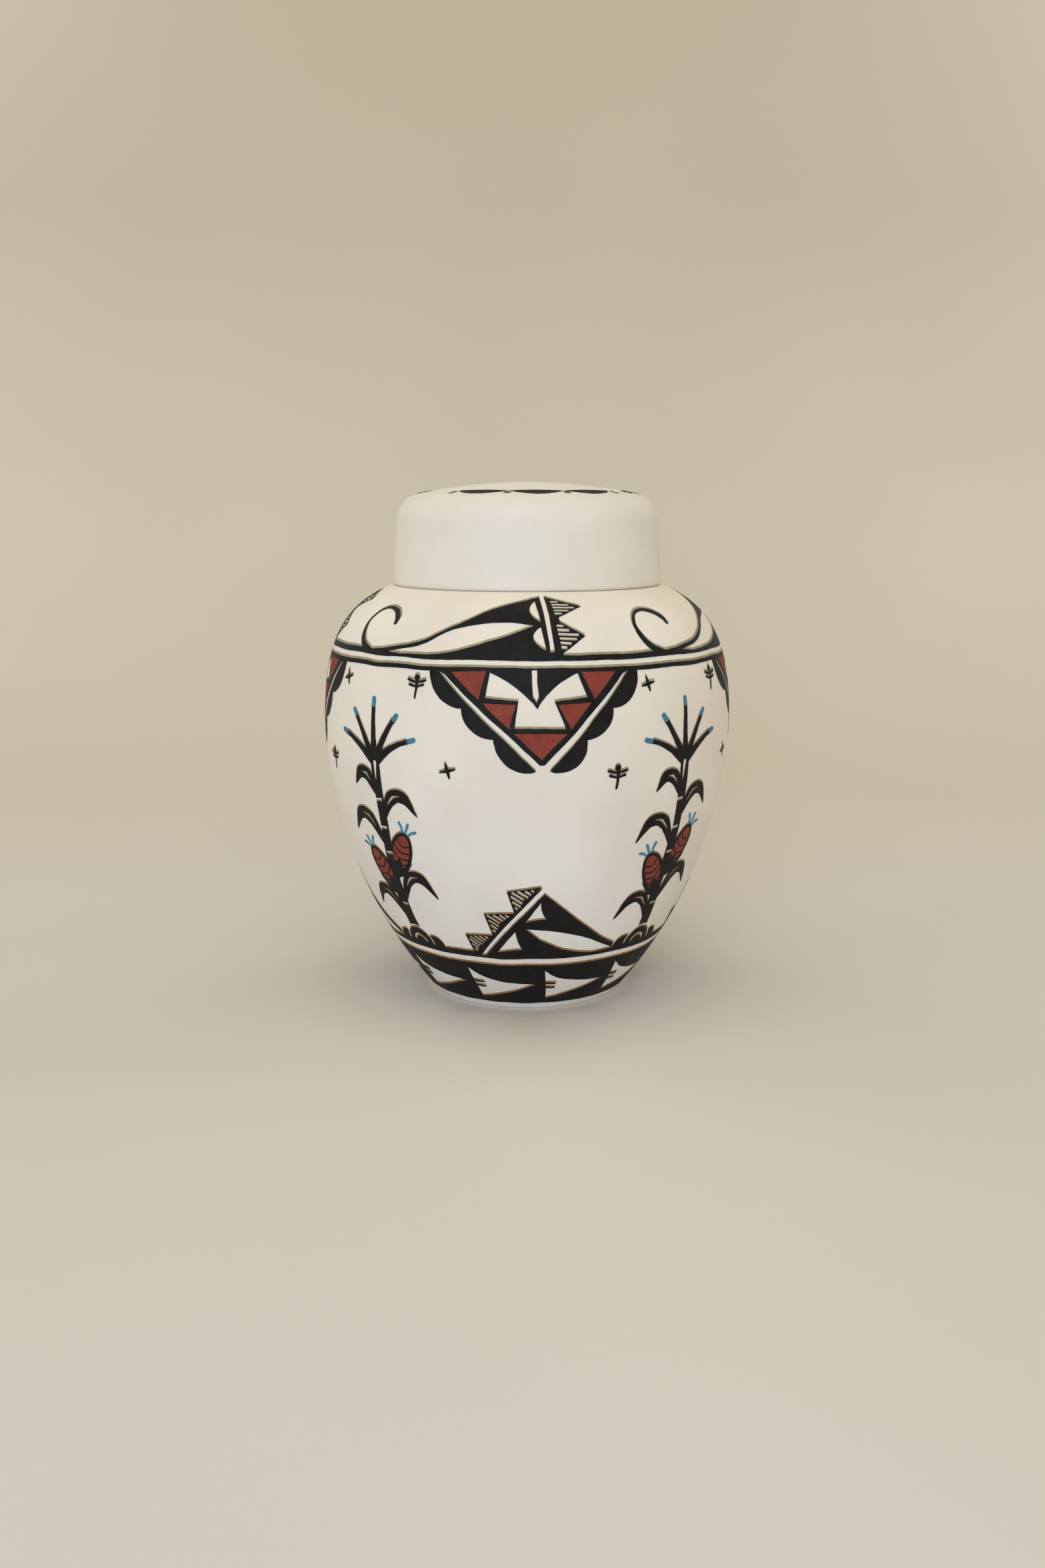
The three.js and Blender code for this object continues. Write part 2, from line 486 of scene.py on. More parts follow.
def coat(name, flat, faces, lay, top, material):
    """A thin closed coat of paint over the given triangles, its underside sunk a little in the clay."""
    used, faces = np.unique(faces, return_inverse=True)
    faces = faces.reshape(-1, 3)
    count = len(used)
    upper = lay(flat[used], top)
    lower = lay(flat[used], -SUNK)
    edges = np.concatenate([faces[:, [0, 1]], faces[:, [1, 2]], faces[:, [2, 0]]])
    ordered = np.sort(edges, axis=1)
    _, first, times = np.unique(ordered, axis=0, return_index=True, return_counts=True)
    rim = edges[first[times == 1]]
    sides = np.stack([rim[:, 1], rim[:, 0], rim[:, 0] + count, rim[:, 1] + count], 1)
    all_faces = [tuple(f) for f in faces] + [tuple(f[::-1] + count) for f in faces]
    all_faces += [tuple(f) for f in sides]
    piece = object_from(name, np.concatenate([upper, lower]) * MM, all_faces, material)
    mesh = piece.data
    mesh.shade_smooth()
    keys = set(map(tuple, np.sort(rim, axis=1))) | set(map(tuple, np.sort(rim + count, axis=1)))
    pairs = np.empty(len(mesh.edges) * 2, np.int32)
    mesh.edges.foreach_get("vertices", pairs)
    sharp = [tuple(sorted(pair)) in keys for pair in pairs.reshape(-1, 2).tolist()]
    attribute = mesh.attributes.new("sharp_edge", "BOOLEAN", "EDGE")
    attribute.data.foreach_set("value", sharp)
    return piece


# Motifs of the painting. Each gives filled outlines in millimetres about its own middle line

SHOULDER_BAND = dict(low=156.5, line=158.2, clear=160.9, high=163.1)
BASE_BAND = dict(foot=4.3, row=29.9, clear=33.8, high=37.0)


def band(low, high):
    """A stripe all the way round, a little longer than the chart at both ends."""
    reach = ROUND / 2 + 6
    return [(-reach, low), (reach, low), (reach, high), (-reach, high)]


def hatching(corners, count, share, direction, reach=0.82):
    """Uneven scratched strokes across a painted triangle, bare along the top, with painted sheen along the
    bottom.

    The strokes fill the middle of the triangle, shrunk by reach, and share says how much of the way from one
    stroke to the next is scratched. The rise of the bare part and its width at either end are shares of the
    whole stroke's width.
    """
    shortest = 1.0
    bare_rise, bare_start, bare_end = 0.27, 0.54, 0.46
    corner = np.array(corners, float)
    middle = corner.mean(0)
    along = np.array(direction, float) / np.hypot(*direction)
    across = np.array((-along[1], along[0]))
    up = across if across[1] > 0 else -across
    inner = middle + (corner - middle) * reach
    levels = (inner - middle) @ across
    width = share * (levels.max() - levels.min()) / (count + 1)
    uneven = random.Random(round(1000 * float(corner.sum())))
    strokes = []
    for level in np.linspace(levels.min(), levels.max(), count + 2)[1:-1]:
        crossings = []
        for a, b in zip(inner, np.roll(inner, -1, axis=0)):
            da, db = (a - middle) @ across - level, (b - middle) @ across - level
            if (da > 0) != (db > 0):
                crossings.append(a + (b - a) * da / (da - db))
        if len(crossings) < 2 or np.hypot(*(crossings[1] - crossings[0])) < shortest:
            continue
        start, end = sorted(crossings, key=lambda p: p @ along)
        start = start + along * uneven.uniform(-0.4, 0.2)
        end = start + (end - start) * uneven.uniform(0.78, 0.97)
        wide = width * uneven.uniform(0.88, 1.1)
        rise = up * wide * bare_rise
        bare = [wide * bare_start, wide * bare_end]
        # Each stroke is laid in painted sheen, with a narrower bare stroke a little higher within it.
        strokes.append((EDGE, stroke([start, end], [wide, wide], round_ends=False)))
        strokes.append((OPEN, stroke([start + rise, end + rise], bare, round_ends=False)))
    return strokes


def scallop(start, end):
    """A quarter of an oval that hangs down from start and swings in to end."""
    across, down = end[0] - start[0], start[1] - end[1]
    angles = np.linspace(0, math.pi / 2, 12)
    return [(end[0] - across * math.cos(a), start[1] - down * math.sin(a)) for a in angles]


def pendant():
    """A stepped triangle between two rows of cloud lobes, hanging a little aslant from the shoulder band."""
    lean, pivot = 0.085, 123
    top = SHOULDER_BAND["line"] - 0.4
    lobes = scallop((-39.5, top), (-27.2, 142.7)) + scallop((-27.3, 142.4), (-16.6, 131.3))
    lobes += scallop((-16.7, 131.0), (-5.4, 118.8)) + bend((-5.4, 118.8), (-3.2, 118.7), (-2.0, 120.2), 4)
    shapes = [(BLACK, mirrored(lobes))]
    slit = [(-35.6, 156.6), (-33.2, 155.4), (0, 121.6), (0, 117.0), (-2.6, 119.6)]
    shapes += [(CLAY, slit), (CLAY, [(-x, y) for x, y in slit[::-1]])]
    ground = [(-32.6, 155.6), (-32.0, 158), (32.0, 158), (32.6, 155.6), (0.9, 121.9), (-0.9, 121.9)]
    shapes.append((BLACK, ground))
    field = bend((0, 142.9), (-5.2, 151.6), (-16, 156.3), 10) + [(-18.3, 147.0), (-6.4, 145.8), (-8.9, 135.6)]
    shapes.append((CLAY, mirrored(field)))
    shapes.append((CLAY, [(-0.9, 157.4), (0.9, 157.4), (1.0, 147.2), (0, 145.2), (-1.0, 147.2)]))
    for side in (-1, 1):
        shapes.append((RED, [(side * 30.4, 156.3), (side * 17.4, 156.8), (side * 20.8, 146.2)]))
        shapes.append((RED, [(side * 19.4, 145.0), (side * 7.5, 144.5), (side * 10.8, 135.4)]))
    shapes.append((RED, [(-9.2, 133.7), (9.2, 133.7), (0, 123.9)]))
    return [(colour, [(x + lean * (pivot - y), y) for x, y in map(tuple, outline)])
            for colour, outline in shapes]


def half_oval(top, bottom, bulge):
    """Half an oval that stands on its straight side from top to bottom and bulges to the left."""
    t = np.linspace(0, 1, 16)
    line = np.outer(1 - t, top) + np.outer(t, bottom)
    return [(x - bulge * math.sin(math.pi * k) ** 0.8, y) for (x, y), k in zip(line, t)]


def shoulder_feather():
    """A long feather that lies on the shoulder, with a barred end, hatched points and a curled stem."""
    crest = through([(-71, 162.6), (-66, 163.4), (-59.3, 164.3), (-43.6, 168), (-28.3, 176.2), (-12.6, 185.2),
                     (5.0, 191.6), (9.6, 191.8)])
    shapes = [(BLACK, crest + [(13.2, 180), (13.2, 162), (-71, 162)])]
    upper = through([(-57.9, 162.9), (-43.3, 166.4), (-27.6, 174.3), (-8.4, 177.0), (2.2, 175.6)])
    lower = through([(2.2, 175.2), (-12.9, 169.1), (-30.7, 163.8), (-51.3, 162.2)])
    shapes.append((CLAY, upper + lower))
    shapes.append((CLAY, half_oval((3.6, 189.2), (5.4, 177.0), 3.7)))
    shapes.append((CLAY, half_oval((5.2, 174.6), (6.7, 164.9), 3.8)))
    shapes.append((CLAY, [(6.0, 193.4), (8.4, 193.4), (9.8, 164.6), (8.2, 164.0)]))
    for count, corners in ((5, [(9.6, 191.6), (24.8, 185.6), (11.4, 178.6)]),
                           (6, [(11.2, 178.6), (22.9, 170.9), (11.8, 163.0)])):
        shapes.append((BLACK, corners))
        shapes += hatching(corners, count, 0.7, (1, -0.03))
    curl = [(-66, 162.0), (-70.6, 162.6), (-75.4, 165.2), (-78.4, 169.8), (-79.3, 175.2), (-76.6, 180.2),
            (-71.6, 182.2), (-65.4, 181.0), (-61.2, 177.6), (-60.4, 175.0)]
    shapes.append((BLACK, stroke(curl, [1.6, 2.8, 2.6, 2.2, 1.5, 1.3, 1.5, 2.2, 2.6, 1.9])))
    return shapes


def climbing_feather():
    """A feather that rises from the base band, with hatched steps up its left side."""
    high = BASE_BAND["high"]
    steps = [[(-12.4, 68.8), (1.6, 70.9), (-9.4, 57.2)],
             [(-23.5, 57.2), (-9.6, 58.3), (-20.2, 45.2)],
             [(-34.7, 45.8), (-20.2, 46.4), (-31.4, 35.0)]]
    shapes = [(BLACK, corners) for corners in steps]
    shapes.append((BLACK, [(1.8, 70.6), (3.0, 67.4), (-27.5, 34.6), (-31.6, 34.6), (-11, 57)]))
    body = through([(3.0, 67.8), (13.5, 58.9), (28.8, 47.0), (42, 39.6), (50.1, 37.2)])
    shapes.append((BLACK, body + [(50.1, high - 2), (-27, high - 2)]))
    shapes.append((CLAY, [(3.4, 71.5), (5.2, 69.5), (-25.8, 35.4), (-28.6, 35.0)]))
    for corners in steps:
        shapes += hatching(corners, 7, 0.62, (1, -0.67))
    leaf = through([(-5, 50.9), (11.7, 48.2), (26, 44.0), (43.1, 36.6)])
    under = through([(43.1, 36.2), (28.5, 35.8), (13.1, 39.2), (2.3, 44.4)])
    shapes.append((CLAY, leaf + under))
    point = bend((1.9, 63.6), (1.9, 58.4), (4.9, 55.2), 5) + bend((4.9, 55.2), (-0.5, 55.6), (-5.0, 53.9), 5)
    shapes.append((CLAY, point))
    lower = bend((-9.6, 49.0), (-9.0, 43.0), (-6.4, 39.4), 5)
    lower += bend((-6.4, 39.4), (-13, 39.0), (-19.6, 37.6), 5)
    shapes.append((CLAY, lower))
    return shapes


def base_feather():
    """One bare feather of the row round the foot, with two short marks at its blunt end."""
    upper = through([(-20.5, 26.6), (-12.4, 22.0), (1.0, 18.9), (20.0, 17.6)])
    lower = through([(20.0, 17.2), (2.0, 11.6), (-17.6, 7.6)])
    shapes = [(CLAY, upper + lower)]
    for level in (17.8, 14.9):
        mark = [(-21.5, level + 0.9), (-12.4, level + 0.6), (-12.4, level - 0.2), (-21.5, level - 0.2)]
        shapes.append((BLACK, mark))
    return shapes


def leaf(side, root, size):
    """A long leaf that rises from the stalk, bends over and droops, with a bare rib."""
    line = [(side * 0.8, root), (side * 8.0 * size, root + 12 * size), (side * 15.5 * size, root + 13 * size),
            (side * 22.0 * size, root + 4.5 * size)]
    rib = through(line)[4:-6:3]
    return [(BLACK, stroke(line, [1.6, 5.6, 5.0, 0.5])), (CLAY, stroke(rib, [0.5, 1.1, 0.4], 2))]


def ear(side, root):
    """An ear of maize that leans away from the stalk: red grain in a black husk, with turquoise silk."""
    lean = math.radians(27)
    size = 1.2

    def place(x, y):
        x, y = size * x, size * y
        return (side * (0.8 + x * math.cos(lean) + y * math.sin(lean)),
                root + y * math.cos(lean) - x * math.sin(lean))

    def oval(centre, half_width, half_height):
        angles = np.linspace(0, 2 * math.pi, 28, endpoint=False)
        return [place(half_width * math.cos(a), centre + half_height * math.sin(a)) for a in angles]

    shapes = []
    for x, rise in ((-2.6, 4.0), (0, 5.2), (2.6, 4.0)):
        silk = [place(x * 0.3, 18), place(x * 0.7, 20.5), place(x * 1.3, 18 + rise)]
        shapes.append((TURQUOISE, stroke(silk, [0.8, 1.0, 1.2])))
    shapes.append((BLACK, oval(10.4, 4.7, 9.2)))
    shapes.append((RED, oval(10.9, 3.4, 7.5)))
    for level in (6.6, 9.4, 12.2, 15.0):
        half = 3.6 * math.sqrt(max(1 - ((level - 10.9) / 7.6) ** 2, 0))
        row = [place(-half, level + 0.8), place(0, level - 0.9), place(half, level + 0.8)]
        shapes.append((BLACK, stroke(row, [0.8, 0.8, 0.8])))
    husk = [(-5.1, 9.8), (-2.4, 5.2), (0, 8.6), (2.4, 5.2), (5.1, 9.8), (4.0, 3.2), (0, -1.2), (-4.0, 3.2)]
    shapes.append((BLACK, [place(x, y) for x, y in husk]))
    return shapes


def maize():
    """A maize plant on a mound of three cloud lobes, with leaves, two ears and a tassel."""
    shapes = []
    for angle in (-66, -33, 0, 33, 66):
        lean = math.radians(angle)
        out, up = math.sin(lean), math.cos(lean)
        line = [(out * 21 * t, 119 + (0.4 + 0.6 * up) * 25 * t - 6.0 * abs(out) * t * t)
                for t in (0, 0.35, 0.7, 1)]
        shapes.append((BLACK, stroke(line, [4.2, 2.6, 1.9, 2.0])))
        tip = through(line)[-3:]
        shapes.append((TURQUOISE, stroke(tip, [1.9, 2.0, 2.0])))
    shapes.append((BLACK, stroke([(0.4, 38), (-0.9, 66), (0.8, 96), (0, 123)], [7.0, 5.4, 4.2, 4.6])))
    shapes.append((CLAY, stroke([(-0.1, 112), (0.1, 119)], [0.5, 1.6])))
    for side, root, size in ((-1, 48, 1.0), (1, 58, 0.96), (-1, 84, 0.9), (1, 95, 0.84), (-1, 106, 0.6)):
        shapes += leaf(side, root, size)
    shapes += ear(1, 70) + ear(-1, 61)
    for level in (56, 80, 91, 103):
        shapes.append((CLAY, [(-1.8, level), (1.8, level + 0.2), (1.8, level + 1.5), (-1.8, level + 1.3)]))
    for x, radius in ((-10.5, 5.8), (10.5, 5.8), (0, 8.6)):
        shapes.append((CLAY, arc((x, 36.6), radius + 1.0, 0, math.pi, 16)))
        shapes.append((BLACK, arc((x, 36), radius, 0, math.pi, 16)))
    rib = arc((0, 36), 5.4, 0.3, math.pi - 0.3, 12) + arc((0, 36), 4.0, math.pi - 0.3, 0.3, 12)
    shapes.append((CLAY, rib))
    return shapes


def dragonfly():
    """A small dragonfly: a stroke for the body, one for each pair of wings, and a head."""
    shapes = [(BLACK, stroke([(0, 3.4), (0.2, 0), (-0.2, -4.2)], [1.5, 1.1, 0.8]))]
    for level, reach in ((2.0, 3.6), (0.2, 2.9)):
        wings = [(-reach, level + 0.5), (0, level - 0.2), (reach, level + 0.5)]
        shapes.append((BLACK, stroke(wings, [1.0, 0.8, 1.0])))
    shapes.append((BLACK, arc((0, 3.6), 1.2, 0, 2 * math.pi, 12)[:-1]))
    return shapes


def star():
    """A small four-armed star."""
    shapes = []
    for angle in (0.25, 0.25 + math.pi / 2):
        c, s = math.cos(angle) * 2.8, math.sin(angle) * 2.8
        shapes.append((BLACK, stroke([(-c, -s), (0, 0), (c, s)], [0.6, 1.5, 0.6])))
    return shapes


def lid_cloud():
    """Three half-moons in a row, flat towards the lid's middle, with short double marks beside them."""
    shapes = []
    pitch, half = math.radians(30.8), math.radians(14.4)
    flat, bulge = 41.6, 47.0
    for middle in (-pitch, 0, pitch):
        edge = []
        for a in np.linspace(-half, half, 16):
            r = flat + (bulge - flat) * math.cos(a / half * math.pi / 2) ** 0.75
            edge.append((r * math.sin(middle + a), -r * math.cos(middle + a)))
        shapes.append((BLACK, edge))
    for middle in (-1.52, -0.5, 0.5, 1.52):
        for r in (43.6, 45.8):
            ends = [(r * math.sin(middle * pitch + a), -r * math.cos(middle * pitch + a))
                    for a in (-0.022, 0.022)]
            shapes.append((BLACK, stroke(ends, [0.8, 0.9])))
    return shapes


def turn(shapes, angle):
    c, s = math.cos(angle), math.sin(angle)
    return [(colour, [(x * c - y * s, x * s + y * c) for x, y in map(tuple, outline)])
            for colour, outline in shapes]


# How far the painted sheen rises above the black and the painted highlight falls below it, on the jar and on
# the lid's row

JAR_RISE = 0.72
JAR_FALL = 0.5
LID_RISE = 0.8
LID_FALL = 0.4
LID_ROW_RADIUS = 46


def jar_rise(outline):
    """The painted sheen shows more near the foot and the neck, where the wall turns away from the eye."""
    middle, reach = 105, 90
    more_at_neck, more_at_foot = 0.6, 0.4
    turned_away = (outline[:, 1] - middle) / reach
    more = np.where(turned_away > 0, more_at_neck, more_at_foot)
    shift = JAR_RISE + more * np.clip(turned_away, -1, 1) ** 2
    return outline + np.stack([0 * shift, shift], 1)


def jar_fall(outline):
    return outline - (0, JAR_FALL)


def lid_rise(outline):
    return outline * (1 - LID_RISE / LID_ROW_RADIUS)


def lid_fall(outline):
    return outline * (1 + LID_FALL / LID_ROW_RADIUS)


def jar_chart():
    """The bands, the row of feathers round the foot and four repeats of the other motifs."""
    chart = Chart(jar_place, jar_rise, jar_fall)
    for low, high in ((BASE_BAND["foot"], BASE_BAND["row"]), (BASE_BAND["clear"], BASE_BAND["high"]),
                      (SHOULDER_BAND["low"], SHOULDER_BAND["line"]),
                      (SHOULDER_BAND["clear"], SHOULDER_BAND["high"])):
        chart.paint([(BLACK, band(low, high))])
    for k in range(ROW_REPEATS):
        x = (k + 0.5 - ROW_REPEATS / 2) * ROUND / ROW_REPEATS - 15
        chart.paint(base_feather(), x)
    for k in range(REPEATS):
        x = (k - 1.5) * ROUND / REPEATS + ROUND / REPEATS / 2
        chart.paint(shoulder_feather(), x)
        chart.paint(pendant(), x + 5.2)
        chart.paint(climbing_feather(), x + 4)
        chart.paint(maize(), x + 64)
        for across, level in ((-42, 150), (33, 116)):
            chart.paint(dragonfly(), x + across, level)
        for across, level in ((-29, 119), (46, 151)):
            chart.paint(star(), x + across, level)
    chart.wrapped(ROUND)
    return chart


def lid_chart():
    """Three groups of half-moons round the lid's top."""
    chart = Chart(lid_place, lid_rise, lid_fall)
    for angle in (5, 114, -124):
        chart.paint(turn(lid_cloud(), math.radians(angle)))
    return chart


def jar_triangles(chart):
    """The jar's chart as triangles, cut at the seam at the back and closed there again."""
    half = ROUND / 2
    levels = np.linspace(CHART_BOTTOM, CHART_TOP, round(CHART_TOP / GRID))
    columns = np.linspace(-half, half, round(ROUND / GRID) + 1)
    frame_points = [(-half, y) for y in levels] + [(half, y) for y in levels]
    count = len(levels)
    frame_edges = [(side + k, side + k + 1) for side in (0, count) for k in range(count - 1)]
    grid = [(x, y) for x in columns[1:-1] for y in levels]
    flat, faces, kinds, middles = chart.triangles(frame_points, frame_edges, grid)
    kept = np.abs(middles[:, 0]) < half
    return flat, seam_closed(flat, faces[kept], half), kinds[kept]


def seam_closed(flat, faces, half):
    """The same triangles, with the points on one side of the seam at the back used on its other side too."""
    right = np.nonzero(np.abs(flat[:, 0] - half) < 1e-4)[0]
    place = np.arange(len(flat))
    for k in np.nonzero(np.abs(flat[:, 0] + half) < 1e-4)[0]:
        gaps = np.abs(flat[right, 1] - flat[k, 1])
        if gaps.min() < 1e-3:
            place[k] = right[gaps.argmin()]
    return place[faces]


def lid_triangles(chart):
    """The lid's chart as triangles, with rings of points where its row lies."""
    inner, outer, spacing, spokes = 34, 52, 2.0, 128
    rings = np.arange(inner, outer, spacing)
    angles = np.linspace(0, 2 * math.pi, spokes, False)
    grid = [(r * math.cos(a), r * math.sin(a)) for r in rings for a in angles]
    return chart.triangles([], [], grid)[:3]


# Materials

WHITE = (1, 1, 1, 1)
NOTHING = (0, 0, 0, 1)


def material(name):
    made = bpy.data.materials.new(name)
    made.use_nodes = True
    return made, made.node_tree.nodes, made.node_tree.links, made.node_tree.nodes["Principled BSDF"]


def mottle(nodes, links, where, scale, detail, low, high, dark, light):
    """A noise that runs between two colours, from its low value to its high one."""
    cloud = nodes.new("ShaderNodeTexNoise")
    cloud.inputs["Scale"].default_value = scale
    cloud.inputs["Detail"].default_value = detail
    links.new(where, cloud.inputs["Vector"])
    ramp = nodes.new("ShaderNodeValToRGB")
    ramp.color_ramp.elements[0].position = low
    ramp.color_ramp.elements[0].color = dark
    ramp.color_ramp.elements[1].position = high
    ramp.color_ramp.elements[1].color = light
    links.new(cloud.outputs["Fac"], ramp.inputs["Fac"])
    return ramp.outputs["Color"]


def blended(nodes, links, kind, amount, first, second):
    """Two colours mixed by the given kind of blend, by a fixed amount or one from another node."""
    mix = nodes.new("ShaderNodeMix")
    mix.data_type = "RGBA"
    mix.blend_type = kind
    if isinstance(amount, float):
        mix.inputs[0].default_value = amount
    else:
        links.new(amount, mix.inputs[0])
    links.new(first, mix.inputs[6])
    links.new(second, mix.inputs[7])
    return mix.outputs[2]


def grained(nodes, links, where, shader, scale, distance):
    """A fine bump, its height given in metres."""
    grain = nodes.new("ShaderNodeTexNoise")
    grain.inputs["Scale"].default_value = scale
    grain.inputs["Detail"].default_value = 5
    links.new(where, grain.inputs["Vector"])
    bump = nodes.new("ShaderNodeBump")
    bump.inputs["Strength"].default_value = 0.5
    bump.inputs["Distance"].default_value = distance
    links.new(grain.outputs["Fac"], bump.inputs["Height"])
    links.new(bump.outputs["Normal"], shader.inputs["Normal"])


def coordinates(nodes):
    return nodes.new("ShaderNodeTexCoord").outputs["Object"]


def by_height(nodes, links, where, top, low_colour, high_colour):
    """A colour that changes evenly from just above the table up to the given height, in metres."""
    bottom = 0.02
    height = nodes.new("ShaderNodeSeparateXYZ")
    links.new(where, height.inputs[0])
    rise = nodes.new("ShaderNodeMapRange")
    rise.inputs["From Min"].default_value = bottom
    rise.inputs["From Max"].default_value = top
    links.new(height.outputs["Z"], rise.inputs["Value"])
    ramp = nodes.new("ShaderNodeValToRGB")
    ramp.color_ramp.elements[0].color = low_colour
    ramp.color_ramp.elements[1].color = high_colour
    links.new(rise.outputs[0], ramp.inputs["Fac"])
    return ramp.outputs["Color"]


def bisque(name, low_colour, high_colour):
    """Bare fired clay: a warm white with faint clouds and pin-prick specks, and painted warm light towards
    the top.
    """
    made, nodes, links, shader = material(name)
    where = coordinates(nodes)
    # Painted light: the ground colour turns lighter and warmer towards the top.
    ground = by_height(nodes, links, where, 0.2, low_colour, high_colour)
    clouds = mottle(nodes, links, where, scale=22, detail=4, low=0.35, high=0.65,
                    dark=srgb(246, 244, 242), light=WHITE)
    specks = mottle(nodes, links, where, scale=1700, detail=2, low=0.2, high=0.27,
                    dark=srgb(226, 216, 200), light=WHITE)
    tinted = blended(nodes, links, "MULTIPLY", 1.0, ground, clouds)
    links.new(blended(nodes, links, "MULTIPLY", 1.0, tinted, specks), shader.inputs["Base Color"])
    shader.inputs["Roughness"].default_value = 0.82
    shader.inputs["Specular IOR Level"].default_value = 0.25
    grained(nodes, links, where, shader, scale=2600, distance=0.00006)
    return made


def paint(name, deep, light, roughness, scale, specks=None):
    """Matte brush paint, a little thinner in places, with a few pale specks where they have a colour."""
    made, nodes, links, shader = material(name)
    where = coordinates(nodes)
    colour = mottle(nodes, links, where, scale, detail=5, low=0.3, high=0.72, dark=deep, light=light)
    if specks:
        dust = mottle(nodes, links, where, scale=900, detail=1, low=0.22, high=0.235,
                      dark=specks, light=NOTHING)
        colour = blended(nodes, links, "ADD", 1.0, colour, dust)
    links.new(colour, shader.inputs["Base Color"])
    shader.inputs["Roughness"].default_value = roughness
    shader.inputs["Specular IOR Level"].default_value = 0.18
    grained(nodes, links, where, shader, scale=1400, distance=0.00008)
    return made


def sheen(name, low_colour, high_colour):
    """The painted sheen along the upper edge of the black: brown at the foot, olive grey at the shoulder."""
    made, nodes, links, shader = material(name)
    where = coordinates(nodes)
    line = by_height(nodes, links, where, 0.14, low_colour, high_colour)
    clouds = mottle(nodes, links, where, scale=300, detail=4, low=0.3, high=0.7,
                    dark=srgb(225, 225, 225), light=WHITE)
    links.new(blended(nodes, links, "MULTIPLY", 1.0, line, clouds), shader.inputs["Base Color"])
    shader.inputs["Roughness"].default_value = 0.75
    grained(nodes, links, where, shader, scale=1600, distance=0.00006)
    return made


# The jar's clay is painted lighter and yellower towards the shoulder, as painted warm light from above.
jar_clay = bisque("jar_clay", low_colour=srgb(227, 224, 222), high_colour=srgb(240, 231, 220))
lid_clay = bisque("lid_clay", low_colour=srgb(230, 226, 222), high_colour=srgb(233, 228, 222))
black_paint = paint("black_paint", deep=srgb(14, 14, 16), light=srgb(25, 25, 27), roughness=0.6, scale=240,
                    specks=srgb(52, 52, 50))
red_paint = paint("red_paint", deep=srgb(122, 52, 45), light=srgb(142, 66, 53), roughness=0.7, scale=180)
turquoise_paint = paint("turquoise_paint", deep=srgb(52, 115, 148), light=srgb(70, 135, 165), roughness=0.6,
                        scale=300)
# Painted light along the black's edges: a painted sheen above them and a pale bluish painted highlight below.
painted_sheen = sheen("painted_sheen", low_colour=srgb(150, 112, 66), high_colour=srgb(160, 152, 122))
# The pale bluish painted highlight along the black's lower edges
painted_highlight = paint("painted_highlight", deep=srgb(218, 222, 227), light=srgb(226, 228, 231), roughness=0.8, scale=200)

# Each kind of coat: the word in its piece's name, its thickness and its material

coats = {
    BLACK: ("black", COAT, black_paint),
    RED: ("red", COAT, red_paint),
    TURQUOISE: ("turquoise", COAT, turquoise_paint),
    # The painted sheen above the black's edges, then the painted highlight below them
    EDGE: ("sheen", THIN_COAT, painted_sheen),
    HIGHLIGHT_LINE: ("highlight", THIN_COAT / 2, painted_highlight),
}

# The two clay pieces

side = jar_side()
jar = turned("jar_shell", foot_outline() + side + neck_outline() + jar_inside(side), jar_clay)
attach(jar, "jar")
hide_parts("jar_body")

cap = turned("lid_shell", lid_outline(), lid_clay)
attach(cap, "lid")
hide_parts("lid")

# The painting: one piece for each kind of coat that the jar's or the lid's drawing has

for body, slot, lay, (flat, faces, kinds) in (
        ("jar", "jar_clay", on_jar, jar_triangles(jar_chart())),
        ("lid", "lid_clay", on_lid, lid_triangles(lid_chart()))):
    for kind, (word, thickness, finish) in coats.items():
        chosen = faces[kinds == kind]
        if len(chosen):
            piece = coat(f"{body}_paint_{word}", flat, chosen, lay, thickness, finish)
            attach(piece, body)

# Floor, backdrop, light and camera

FLOOR_HALF = 6.0
BACK = 0.9
SWEEP = 0.5
BACK_HEIGHT = 2.6
LAMP_TARGET = (0, 0, 0.11)


def backdrop():
    """A floor that curves up into the backdrop in one sweep, paler in front, with painted shade towards the
    back.
    """
    finish, nodes, links, shader = material("pale_ground")
    where = coordinates(nodes)
    place = nodes.new("ShaderNodeSeparateXYZ")
    links.new(where, place.inputs[0])
    depth = nodes.new("ShaderNodeMapRange")
    depth.inputs["From Min"].default_value = -0.35
    depth.inputs["From Max"].default_value = 0.5
    links.new(place.outputs["Y"], depth.inputs["Value"])
    # Painted shade: the floor's colour darkens and warms from the front towards the backdrop.
    near = mottle(nodes, links, where, scale=3, detail=2, low=0.3, high=0.7,
                  dark=srgb(216, 213, 211), light=srgb(221, 218, 216))
    far = mottle(nodes, links, where, scale=3, detail=2, low=0.3, high=0.7,
                 dark=srgb(206, 198, 186), light=srgb(210, 202, 190))
    links.new(blended(nodes, links, "MIX", depth.outputs[0], near, far), shader.inputs["Base Color"])
    shader.inputs["Roughness"].default_value = 0.9
    shader.inputs["Specular IOR Level"].default_value = 0.1
    rows = [(-FLOOR_HALF, 0.0), (BACK - SWEEP, 0.0)]
    for a in np.linspace(0, math.pi / 2, 25)[1:]:
        rows.append((BACK - SWEEP + SWEEP * math.sin(a), SWEEP - SWEEP * math.cos(a)))
    rows.append((BACK, BACK_HEIGHT))
    vertices = [(x, y, z) for y, z in rows for x in (-FLOOR_HALF, FLOOR_HALF)]
    faces = [(2 * k, 2 * k + 1, 2 * k + 3, 2 * k + 2) for k in range(len(rows) - 1)]
    ground = object_from("ground", vertices, faces, finish)
    ground.data.shade_smooth()


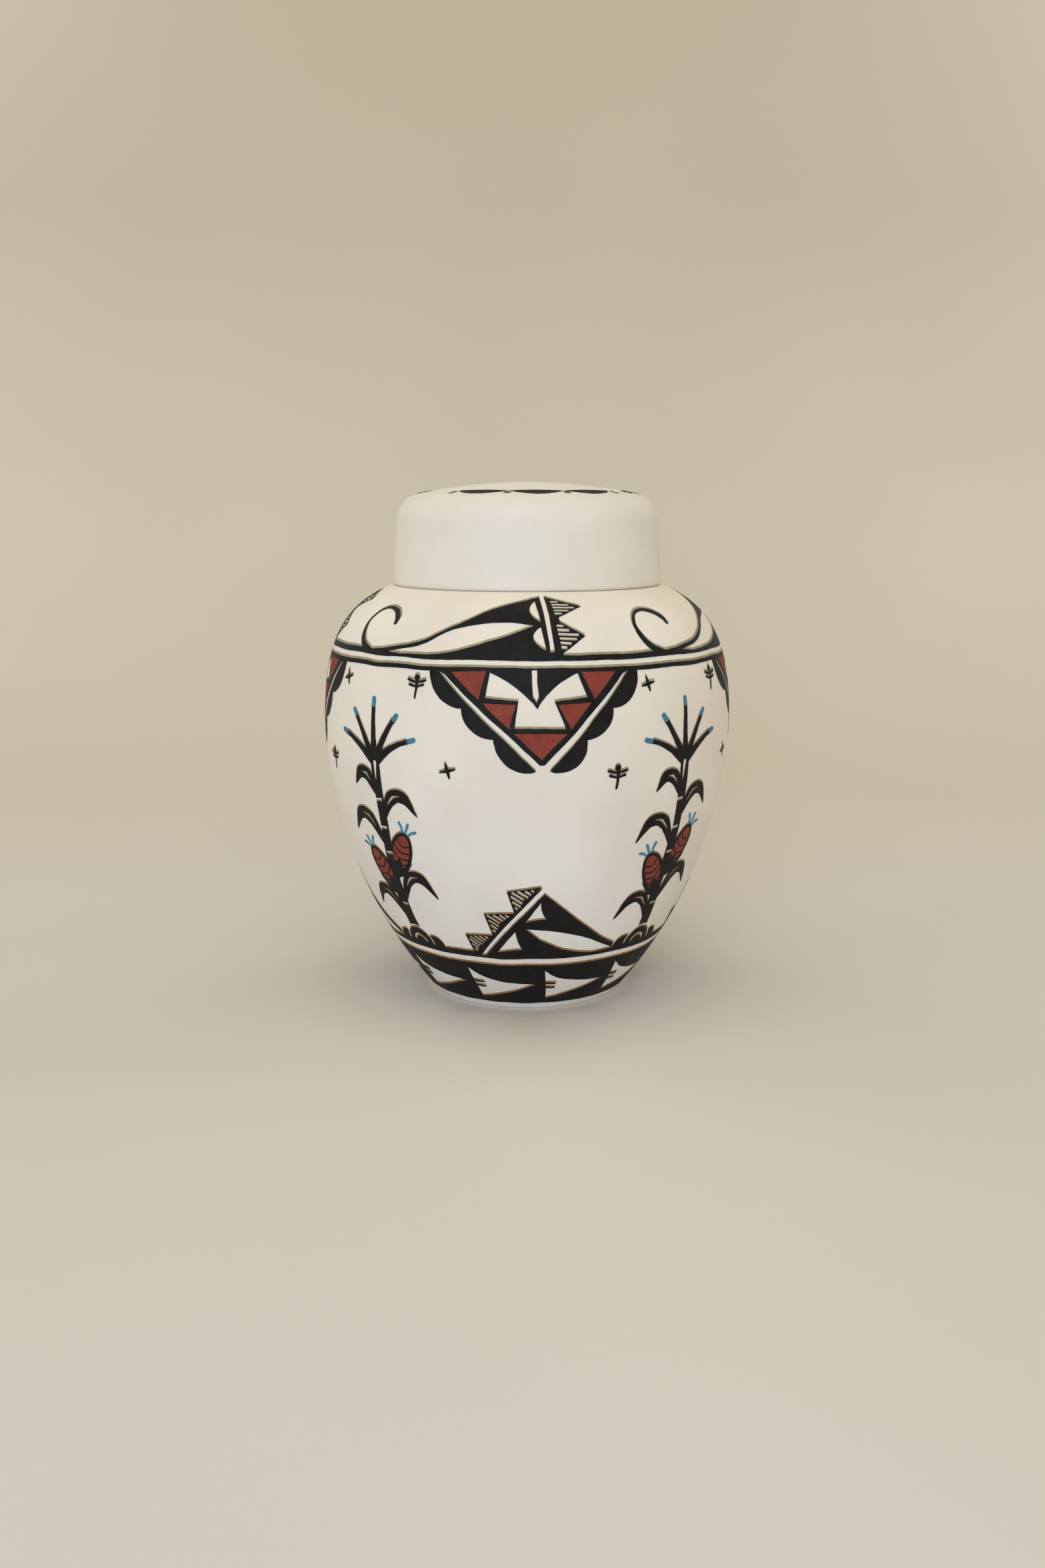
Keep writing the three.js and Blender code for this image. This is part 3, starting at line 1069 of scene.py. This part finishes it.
def lamp(name, place, size, power, colour, spread=180):
    """A round soft lamp that faces the jar, its light kept within the given angle in degrees."""
    data = bpy.data.lights.new(name, "AREA")
    data.shape = "DISK"
    data.size = size
    data.energy = power
    data.color = colour
    data.spread = math.radians(spread)
    made = bpy.data.objects.new(name, data)
    made.location = place
    made.rotation_euler = (Vector(LAMP_TARGET) - Vector(place)).to_track_quat("-Z", "Y").to_euler()
    bpy.context.scene.collection.objects.link(made)


def world(strength, colour, seen):
    """The room's light, and the plain tone that is seen beyond the floor."""
    made = bpy.data.worlds.new("room")
    made.use_nodes = True
    nodes, links = made.node_tree.nodes, made.node_tree.links
    room = nodes["Background"]
    room.inputs["Color"].default_value = colour
    room.inputs["Strength"].default_value = strength
    wall = nodes.new("ShaderNodeBackground")
    wall.inputs["Color"].default_value = seen
    path = nodes.new("ShaderNodeLightPath")
    choice = nodes.new("ShaderNodeMixShader")
    links.new(path.outputs["Is Camera Ray"], choice.inputs[0])
    links.new(room.outputs[0], choice.inputs[1])
    links.new(wall.outputs[0], choice.inputs[2])
    links.new(choice.outputs[0], nodes["World Output"].inputs["Surface"])
    bpy.context.scene.world = made


def camera():
    """The photograph's view: close in front, a little above the lid's top, looking down at the belly."""
    photo_width, photo_height = 1568, 2352
    sensor = 36.0
    focal_pixels = 2179.0
    axis_pixel = 790.75
    distance = 0.620
    height = 0.2076
    downward = math.radians(10.97)
    data = bpy.data.cameras.new("camera")
    data.sensor_width = sensor
    data.lens = focal_pixels * sensor / photo_height
    made = bpy.data.objects.new("camera", data)
    made.location = (-(axis_pixel - photo_width / 2) / focal_pixels * distance, -distance, height)
    made.rotation_euler = (math.pi / 2 - downward, 0, 0)
    bpy.context.scene.collection.objects.link(made)
    bpy.context.scene.camera = made


backdrop()
lamp("front", (-0.25, -1.3, 0.45), size=0.8, power=1.58, colour=(0.58, 0.78, 1.0), spread=80)
lamp("back_left", (-0.8, 0.72, 0.75), size=0.7, power=2.4, colour=(0.72, 0.86, 1.0))
lamp("back_right", (0.8, 0.72, 0.75), size=0.7, power=2.4, colour=(0.72, 0.86, 1.0))
lamp("above", (-0.1, -0.2, 1.7), size=0.9, power=1.2, colour=(1.0, 0.9, 0.6))
world(strength=0.8, colour=(1.0, 0.9, 0.7, 1), seen=srgb(196, 186, 166))
camera()
bpy.context.scene.view_settings.view_transform = "Standard"
